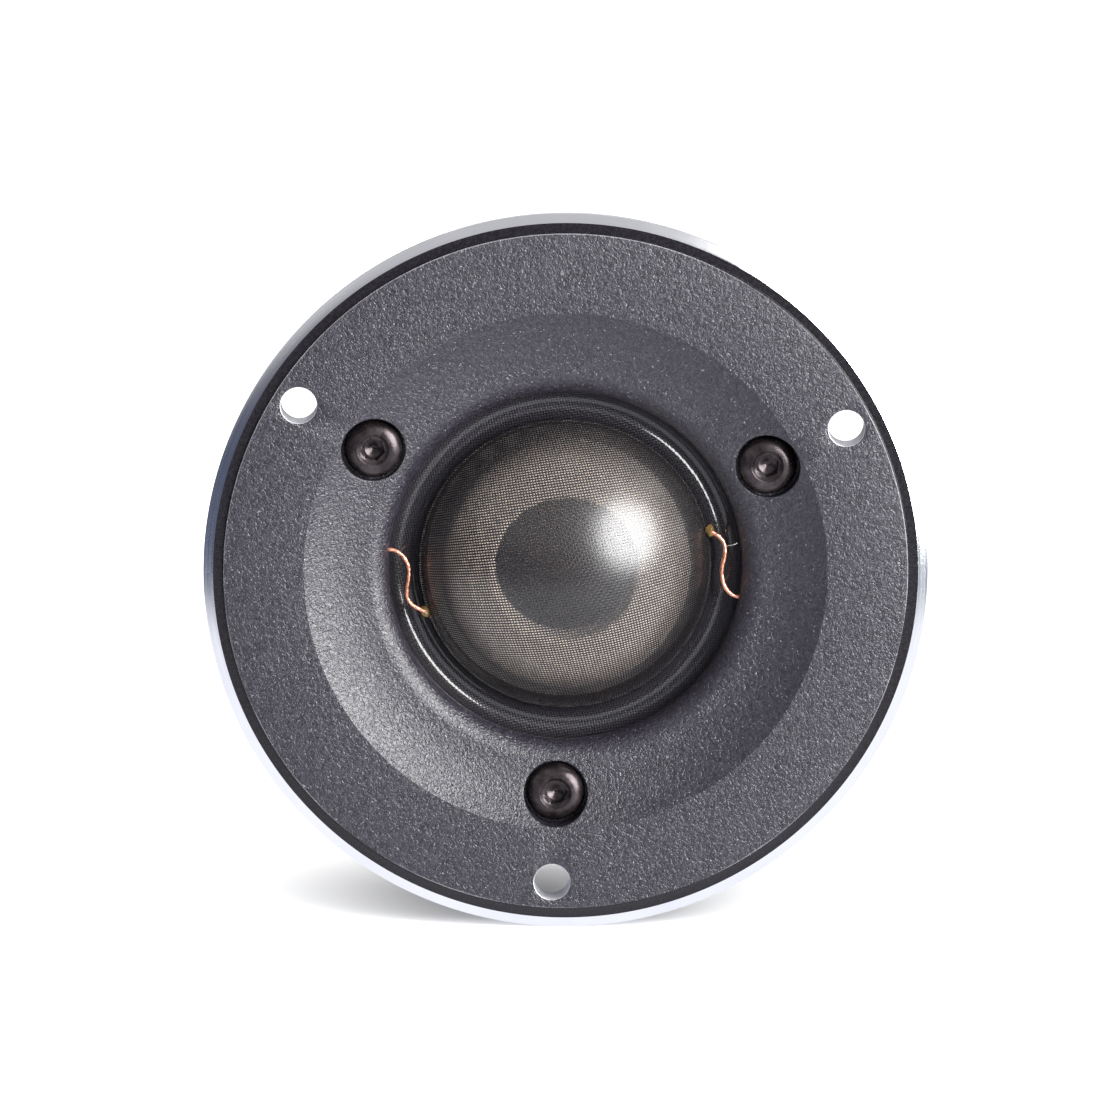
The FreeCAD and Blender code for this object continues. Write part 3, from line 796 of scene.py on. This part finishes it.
def add_floor():
    """White paper with a painted glow, left out round the part so that a painted shadow pool lies where its
    cast shadow falls.
    """
    # The centre and reach of the painted shadow pool, where the glow is left out.
    shade_x, shade_y = 0.005, 0.014
    shade_inner, shade_outer = 0.006, 0.047
    size = 8.0
    z = floor_z * MM
    corners = [(-size, -size, z), (size, -size, z), (size, size, z), (-size, size, z)]
    mesh = bpy.data.meshes.new("floor")
    mesh.from_pydata(corners, [], [(0, 1, 2, 3)])
    n = Nodes("floor_paper")
    grain = n.noise(n.coords, 400, 3.0)
    base = n.mix(grain, rgb(0.90, 0.90, 0.91), rgb(0.93, 0.93, 0.935))
    x, y, _ = n.split(n.coords)
    away_x, away_y = n.sub(x, shade_x), n.sub(y, shade_y)
    reach = n.math("SQRT", n.add(n.mul(away_x, away_x), n.mul(away_y, away_y)))
    # The floor glows, though it is no lamp: painted light, with a painted shadow round the part.
    glow_and_painted_shadow = n.step(reach, shade_inner, shade_outer)
    paper = n.principled(Base_Color=base, Roughness=0.6, Normal=n.bump(grain, 0.02),
                         Emission_Color=rgb(1, 1, 1), Emission_Strength=glow_and_painted_shadow)
    mesh.materials.append(n.finish(paper.outputs[0]))
    floor = add_object("floor", mesh)
    floor.visible_glossy = False


def add_world():
    """A soft studio: pale below, grey above, darker in front and to the left."""
    world = bpy.data.worlds.new("studio")
    bpy.context.scene.world = world
    world.use_nodes = True
    # The helper makes a material of its own, which is removed at the end.
    n = Nodes("world_helper")
    n.tree = world.node_tree
    n.tree.nodes.clear()
    way = n.node("ShaderNodeTexCoord").outputs["Generated"]
    x, _, z = n.split(way)
    below = n.step(z, -0.19, -0.28)
    sky = n.mix(n.step(z, 0.05, 0.42), rgb(0.045, 0.045, 0.075), rgb(0.62, 0.62, 0.65))
    left = n.step(x, -0.15, -0.50)
    sky = n.mix(n.mul(left, n.step(z, 0.30, -0.05)), sky, rgb(0.10, 0.12, 0.19))
    right = n.step(x, 0.10, 0.55)
    sky = n.mix(n.mul(right, n.step(z, 0.5, 0.2)), sky, rgb(0.27, 0.31, 0.36))
    colour = n.mix(below, sky, rgb(1.18, 1.20, 1.30))
    path = n.node("ShaderNodeLightPath")
    colour = n.mix(n.mul(path.outputs["Is Diffuse Ray"], 0.75), colour, rgb(0.0, 0.0, 0.0))
    background = n.node("ShaderNodeBackground", Color=colour)
    pale = n.node("ShaderNodeBackground", Color=rgb(0.97, 0.97, 0.975))
    out = n.node("ShaderNodeOutputWorld")
    shown = n.shader_mix(path.outputs["Is Camera Ray"], background.outputs[0], pale.outputs[0])
    n.tree.links.new(shown, out.inputs["Surface"])
    bpy.data.materials.remove(n.material)


# ======== dome and surround ========

def vertex_places(obj):
    """The x and z of an object's vertices, and their distances from the axis."""
    points = np.zeros(len(obj.data.vertices) * 3)
    obj.data.vertices.foreach_get("co", points)
    points = points.reshape(-1, 3) / MM
    return points[:, 0], points[:, 2], np.hypot(points[:, 0], points[:, 2])


def weave_uv(obj, flat_radius):
    """Weave coordinates, counted in threads. flat_radius unrolls a point's radius."""
    layer = obj.data.uv_layers.new(name="weave")
    x, z, radius = vertex_places(obj)
    flat = flat_radius(radius)
    scale = np.where(radius > 1e-6, flat / np.maximum(radius, 1e-6), 1.0)
    x, z = x * scale, z * scale
    turn_u = weave_turn + weave_skew
    turn_v = weave_turn - weave_skew
    u = (x * math.cos(turn_u) + z * math.sin(turn_u)) / column_pitch
    v = (z * math.cos(turn_v) - x * math.sin(turn_v)) / row_pitch
    corners = np.zeros(len(obj.data.loops), np.int32)
    obj.data.loops.foreach_get("vertex_index", corners)
    both = np.stack([u[corners], v[corners]], 1)
    layer.data.foreach_set("uv", both.astype(np.float32).ravel())


def on_dome(radius):
    """The cloth's front face, which clears the coil former's front edge."""
    return (radius, sphere_y - math.sqrt((sphere_radius + cloth_proud) ** 2 - radius ** 2))


def dome():
    """The woven dome, as one sheet of cloth."""
    edge = math.asin(foot_radius / sphere_radius)
    steps = 72
    outline = [on_dome(foot_radius * math.sin(edge * i / steps) / math.sin(edge)) for i in range(steps + 1)]
    obj = turned("dome_woven", outline, cloth, 192, False)
    face_outwards(obj)
    smooth(obj, 80)

    weave_uv(obj, lambda radius: sphere_radius * np.arcsin(np.minimum(radius / sphere_radius, 1.0)))
    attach(obj, "diaphragm")
    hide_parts("dome")


def surround():
    """The concave half roll. Its inner half is an ellipse that starts at the dome's foot."""
    thickness = 0.12
    foot_y = on_dome(foot_radius)[1]
    steps = 40
    start = math.asin((foot_y - 0.01 - cloth_y) / roll_radius)
    inner_width = (roll_middle - foot_radius - 0.005) / math.cos(start)
    outline = []
    for i in range(steps + 1):
        turn = start + (math.pi - start) * i / steps
        width = inner_width if turn < math.pi / 2 else roll_radius
        rounding = 0.1 if i == steps else 0
        y = cloth_y + roll_radius * math.sin(turn)
        outline.append((roll_middle - width * math.cos(turn), y, rounding))
    outline += [(roll_outer_radius + 0.3, cloth_y, 0), (cloth_outer_radius, cloth_y, 0)]
    outline = rounded(outline)
    back = [(r, y + thickness) for r, y in reversed(outline)]
    obj = turned("surround_roll", outline + back, roll_cloth, 320, True)
    face_outwards(obj)
    smooth(obj, 50)

    weave_uv(obj, lambda radius: radius * 1.25 - 2.0)
    flexes(obj)
    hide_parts("surround")


def spline_points(points, resolution=24):
    """Points along a smooth NURBS line with the given control points."""
    data = bpy.data.curves.new("path", "CURVE")
    data.dimensions = "3D"
    data.resolution_u = resolution
    spline = data.splines.new("NURBS")
    spline.points.add(len(points) - 1)
    for point, place in zip(spline.points, points):
        point.co = (*place, 1.0)
    spline.order_u = 3
    spline.use_endpoint_u = True
    obj = add_object("path", data)
    graph = bpy.context.evaluated_depsgraph_get()
    mesh = bpy.data.meshes.new_from_object(obj.evaluated_get(graph))
    line = [Vector(vertex.co) for vertex in mesh.vertices]
    bpy.data.objects.remove(obj)
    return line


def tube(name, line, radius, material, sides=18, lobes=0, lobe_depth=0.0, twist=0.0):
    """A tube along a line. radius is a number or a rule of the distance; lobes are twisted strands."""
    points, faces = [], []
    travelled = 0.0
    normal = None
    for index, place in enumerate(line):
        before = line[max(index - 1, 0)]
        after = line[min(index + 1, len(line) - 1)]
        along = (after - before).normalized()
        if normal is None:
            normal = along.orthogonal().normalized()
        normal = (normal - along * normal.dot(along)).normalized()
        side = along.cross(normal)
        travelled += (place - before).length
        size = radius(travelled) if callable(radius) else radius
        for step in range(sides):
            turn = 2 * math.pi * step / sides
            wave = 1 + lobe_depth * math.cos(lobes * turn - twist * travelled)
            points.append(place + (normal * math.cos(turn) + side * math.sin(turn)) * size * wave)
    rings = len(line)
    for ring in range(rings - 1):
        for step in range(sides):
            following = (step + 1) % sides
            a, b = ring * sides + step, ring * sides + following
            faces.append((a, b, b + sides, a + sides))
    for ring in (0, rings - 1):
        cap(points, faces, ring * sides, sides, line[ring])
    obj = face_outwards(to_object(name, points, faces, [material]))
    return smooth(obj, 70)


def flexes(obj):
    """Bake a piece's transform into its mesh, and read its points' distances from the axis."""
    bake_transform(obj)
    set_weights(obj)


def set_weights(obj):
    """Read the distances of a flexing piece's points from the axis; no weights are set."""
    _, _, radius = vertex_places(obj)


def lead_places(side):
    """A lead's control points, from its glue bead to its solder tab."""
    places = [around(roll_middle + out, turn, cloth_y - height) for out, turn, height in lead_routes[side]]
    tab_y = cloth_y - tab_thickness - lead_radius
    places.append(around(roll_outer_radius, lead_ends[side], tab_y))
    places.append(around(tab_circle_radius, lead_ends[side], tab_y))
    return places


def leads():
    """The two stranded copper leads, their glue beads and a loose strand."""
    bead_radius = {"left": 0.46, "right": 0.50}
    strands, strand_depth = 5, 0.035
    twist = 2 * math.pi / 0.5
    for side in ("left", "right"):
        line = spline_points(lead_places(side))

        def size(distance):
            waver = 0.05 * math.sin(2.3 * distance) + 0.04 * math.sin(7.1 * distance + 1)
            return lead_radius * (0.94 + waver)

        obj = tube(f"lead_{side}", line, size, copper_metal, 24, strands, strand_depth, twist)
        flexes(obj)
        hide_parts(f"lead_wire_{side}")
        start = lead_places(side)[0]
        bead = glue_bead(f"glue_{side}", start, bead_radius[side])
        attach(bead, "diaphragm")
        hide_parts("lead_glue")
    whisker()


def glue_bead(name, place, radius):
    """A small uneven drop of glue, flatter towards the cloth."""
    work = bmesh.new()
    bmesh.ops.create_icosphere(work, subdivisions=4, radius=radius)
    outward = Vector((place.x, 0, place.z)).normalized()
    tangent = outward.cross(Vector((0, 1, 0)))
    for vertex in work.verts:
        co = vertex.co.copy()
        lump = noise.noise(co * 2.2 + place) * 0.30 + noise.noise(co * 6.0 + place) * 0.10
        co *= 1.0 + lump
        spread = outward * co.dot(outward) * 0.85 + tangent * co.dot(tangent) * 1.25
        vertex.co = (place + spread + Vector((0, co.y * 0.7 + 0.08, 0))) * MM
    mesh = bpy.data.meshes.new(name)
    work.to_mesh(mesh)
    work.free()
    mesh.materials.append(glue_material)
    return smooth(add_object(name, mesh), 80)


def whisker():
    """A loose tinned strand beside the right lead."""
    line = spline_points([around(radius, angle, cloth_y - height) for radius, angle, height in whisker_route])
    obj = tube("lead_whisker", line, 0.035, tin, 8)
    flexes(obj)


def hexagon(angle):
    """The socket's radius at an angle, in degrees, with its corners at 0, 60 and so on."""
    return socket_half_width / math.cos(math.radians(angle % 60 - 30))


def button_screw(name, x, z, seat_y, tip_y, head_way, turn):
    """A button-head screw along Y. head_way is -1 for a head towards the face, or 1 for the rear.

    Each ring is (radius, height over the seat), from the socket's bottom over the crown to the tip.
    A socket ring's radius is a rule of the angle, which makes it a hexagon.
    """
    segments = 72
    crown_steps = 16
    crown_start = (socket_ring_radius + 0.09, head_height - 0.018)
    crown_end = (head_radius, head_side + 0.05)
    corner = socket_half_width / math.cos(math.radians(30))
    socket_y = head_height - socket_depth
    ring_y = head_height - socket_ring_depth
    rings = [
        (0, socket_y - 0.45),
        (0.3, socket_y - 0.29),
        (0.6, socket_y - 0.13),
        (0.82, socket_y - 0.02),
        (0.88, socket_y),
        (lambda a: 0.93 * hexagon(a), socket_y),
        (lambda a: 0.99 * hexagon(a), socket_y + 0.05),
        (hexagon, socket_y + 0.12),
        (hexagon, ring_y - 0.06),
        (lambda a: hexagon(a) + 0.012, ring_y - 0.02),
        (lambda a: max(hexagon(a) + 0.03, corner - 0.02), ring_y),
        (corner + 0.05, ring_y + 0.01),
        (corner + 0.09, ring_y + 0.04),
        (socket_ring_radius - 0.07, head_height - 0.065),
        (socket_ring_radius - 0.03, head_height - 0.02),
        (socket_ring_radius + 0.02, head_height - 0.003),
        crown_start,
    ]
    first = Vector(crown_start)
    chord = Vector(crown_end) - first
    across = Vector((-chord.y, chord.x)).normalized()
    for step in range(1, crown_steps):
        share = step / crown_steps
        bulge = 4 * share * (1 - share) * crown_bulge
        place = first + chord * share + across * bulge
        rings.append((min(place.x, head_radius), place.y))
    rings += [(head_radius, head_side), (head_radius, 0.10)]
    rings += [(head_radius - 0.02, 0.03), (head_radius - 0.09, 0)]
    rings += [(screw_radius + 0.1, 0), (screw_radius, -0.1)]
    shank = abs(tip_y - seat_y)
    root_radius = screw_radius - thread_depth
    groove = 0.14
    while groove < shank - 0.48:
        rings += [(screw_radius - 0.01, -groove), (root_radius, -groove - 0.2), (root_radius, -groove - 0.27)]
        groove += thread_pitch
    rings += [(screw_radius - 0.02, -(shank - 0.32)), (screw_radius - 0.3, -shank), (0, -shank)]
    points, faces, numbers = [], [], []
    for radius, up in rings:
        y = seat_y + head_way * up
        if radius == 0:
            numbers.append([len(points)])
            points.append((x, y, z))
            continue
        numbers.append(range(len(points), len(points) + segments))
        for index in range(segments):
            angle = 360.0 * index / segments
            size = radius(angle) if callable(radius) else radius
            way = math.radians(angle + turn)
            points.append((x + size * math.cos(way), y, z + size * math.sin(way)))
    for a, b in zip(numbers, numbers[1:]):
        faces += bridge(a, b)
    return smooth(face_outwards(to_object(name, points, faces, [screw_metal])), 28)


def screws():
    """Three screws in the face and three in the cup, each with its socket at its own angle."""
    hex_turns = (8.0, 22.0, -14.0)
    face_tip_y = high("faceplate_screws").y
    cup_head_y = high("cup_screws").y - head_height
    cup_tip_y = low("cup_screws").y
    for number, (angle, turn) in enumerate(zip(pattern_angles, hex_turns)):
        place = around(screw_circle, angle)
        front = button_screw(f"face_screw_{number}", place.x, place.z, counterbore_y, face_tip_y, -1, turn)
        place = around(cup_screw_circle, angle)
        back = button_screw(f"cup_screw_{number}", place.x, place.z, cup_head_y, cup_tip_y, 1, turn * 2)
        for piece, node in ((front, "faceplate_screws"), (back, "cup_screws")):
            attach(piece, "frame")
            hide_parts(node)


def felt_piece(name, node, outline):
    """A felt pad: a turned section with rounded edges and a woolly, uneven surface."""
    lumps = ((3.1, 0.10), (9.0, 0.05), (0.9, 0.08))
    sunk = 0.08
    spacing = 0.25
    dense = []
    corners = rounded(outline, 6)
    for index, (radius, y) in enumerate(corners):
        following = corners[(index + 1) % len(corners)]
        pieces = max(1, round(math.dist((radius, y), following) / spacing))
        for i in range(pieces):
            dense.append((radius + (following[0] - radius) * i / pieces, y + (following[1] - y) * i / pieces))
    closed = min(radius for radius, y in dense) > 0.01
    obj = face_outwards(turned(name, dense, felt, 288, closed))
    moved = []
    for vertex in obj.data.vertices:
        place = vertex.co / MM
        lift = sum(noise.noise(place * fineness) * height for fineness, height in lumps)
        moved.extend(vertex.co + vertex.normal * (lift - sunk) * MM)
    obj.data.vertices.foreach_set("co", moved)
    smooth(obj, 60)
    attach(obj, "frame")
    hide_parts(node)


def felts():
    """The ring on the pole, which follows the dome's inside, and the pad in the rear chamber."""
    inside = sphere_radius - cloth_thickness

    def under_dome(radius, gap):
        return (radius, sphere_y - math.sqrt(inside ** 2 - radius ** 2) + gap)

    inner = under_dome(vent_radius, felt_inner_gap)
    outer = under_dome(felt_outer_radius, felt_outer_gap)
    middle = ((inner[0] + outer[0]) / 2, (inner[1] + outer[1]) / 2 - felt_crown)
    outline = [(*inner, 0.5), (*middle, 4.0), (*outer, 1.1)]
    outline += [(felt_outer_radius, plate_y, 0.1), (vent_radius, plate_y, 0.1)]
    felt_piece("felt_ring", "pole_felt", outline)
    front, back, edge = low("chamber_felt").y, high("chamber_felt").y, high("chamber_felt").x
    outline = [(0, front, 0), (edge, front, 0.8), (edge, back, 0.8), (0, back, 0)]
    felt_piece("felt_pad", "chamber_felt", outline)


def rear_cup():
    """The turned cup behind the motor, with the holes for its screws, rivets and terminals."""
    floor_y = cup_back_y - cup_wall
    inside = body_radius - cup_wall
    corners = [(0, floor_y, 0), (inside, floor_y, 0.8), (inside, plate_back_y, 0.05)]
    corners += [(body_radius, plate_back_y, 0.15)]
    bottom_radius = body_radius - cup_groove_depth
    for start in [cup_back_y - place for place in cup_groove_places]:
        end = start + cup_groove_width
        corners += [(body_radius, start, 0.05), (bottom_radius, start + 0.12, 0.03)]
        corners += [(bottom_radius, end - 0.12, 0.03), (body_radius, end, 0.05)]
    corners += [(body_radius, cup_back_y - 1, 0.4), (body_radius - 1, cup_back_y, 0.4), (0, cup_back_y, 0)]
    cup = face_outwards(turned("rear_cup_turned", rounded(corners), cup_coat, 320, False))
    cutters = []
    for number, angle in enumerate(pattern_angles):
        place = around(cup_screw_circle, angle)
        rings = [(counterbore_radius + cup_hole_edge + 0.4, cup_back_y + 0.5)]
        rings += edge_rings(counterbore_radius, cup_hole_edge, cup_back_y, -1)
        rings += [(counterbore_radius, cup_back_y - cup_hole_edge - 0.05), (counterbore_radius, cup_seat_y)]
        rings += [(screw_hole_radius, cup_seat_y), (screw_hole_radius, floor_y - 0.5)]
        cutters.append(round_solid(f"cup_bore_{number}", place.x, place.z, rings, cup_coat))
    for side in (-1, 1):
        rings = [(rivet_radius + 0.02, cup_back_y + 0.5), (rivet_radius + 0.02, floor_y - 0.5)]
        cutters.append(round_solid(f"rivet_bore_{side}", side * rivet_place, 0, rings, cup_coat))
    slot_ends = (floor_y - 0.5, cup_back_y + 0.5)
    box = [(side * slot_half_length, y, up * slot_half_width)
           for side in (-1, 1) for y in slot_ends for up in (-1, 1)]
    sides = [(0, 1, 3, 2), (4, 6, 7, 5), (0, 4, 5, 1), (2, 3, 7, 6), (0, 2, 6, 4), (1, 5, 7, 3)]
    cutters.append(face_outwards(to_object("slot_cutter", box, sides, [cup_coat])))
    smooth(cut(cup, cutters), 32)
    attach(cup, "frame")
    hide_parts("rear_cup")


def rivets():
    """The two rivets that hold the terminal board."""
    board_back_y = high("terminal_board").y
    floor_y = cup_back_y - cup_wall
    for number, side in enumerate((-1, 1)):
        rings = [(rivet_head_radius - 0.15, floor_y - rivet_head_height), (rivet_head_radius, floor_y - 0.45)]
        rings += [(rivet_head_radius, floor_y), (rivet_radius, floor_y), (rivet_radius, board_back_y)]
        rings += [(rivet_head_radius * share, board_back_y + up) for share, up in rivet_crown]
        rivet = smooth(round_solid(f"rivet_{number}", side * rivet_place, 0, rings, tin), 40)
        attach(rivet, "frame")
        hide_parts("terminal_rivets")


def soften(node, width):
    """Round a CAD node's edges with modifiers, which leave its mesh as it is."""
    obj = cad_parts[node]
    weld = obj.modifiers.new("weld", "WELD")
    weld.merge_threshold = 0.001 * MM
    bevel = obj.modifiers.new("rounding", "BEVEL")
    bevel.width = width * MM
    bevel.segments = 3
    bevel.limit_method = "ANGLE"
    bevel.angle_limit = math.radians(35)
    bevel.harden_normals = True


# ======== build ========

add_camera()
add_floor()
add_world()
area_light("key", (0.70, -0.63, 0.30), 1.0, 0.80, 31.5)
area_light("fill", (-0.75, -0.55, 0.55), 1.3, 1.0, 0.5, (0.93, 0.95, 1.0))
area_light("top", (0.0, 0.25, 1.0), 1.3, 1.2, 4.0)

plate = faceplate()
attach(plate, "frame")
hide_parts("faceplate")
dome()
surround()
leads()
screws()
felts()
rear_cup()
rivets()

finishes = {
    "surround_ring": ring_plastic, "coil_former": foil,
    "voice_coil": dull_copper, "solder_tab_left": tin, "solder_tab_right": tin, "top_plate": turned_steel,
    "magnet": nickel, "yoke": steel, "copper_sleeve": dull_copper,
    "terminal_board": board_laminate,
    "terminal_positive": tin, "terminal_negative": tin,
    "inner_wire_left": wire_red, "inner_wire_right": wire_black,
}
for node, material in finishes.items():
    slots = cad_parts[node].material_slots
    for slot in slots:
        slot.material = material
for node, width in (("terminal_board", 0.12), ("terminal_positive", 0.10), ("terminal_negative", 0.10),
                    ("top_plate", 0.12)):
    soften(node, width)

settings = bpy.context.scene.view_settings
settings.view_transform = "Standard"
settings.look = "None"
settings.exposure = 0.0
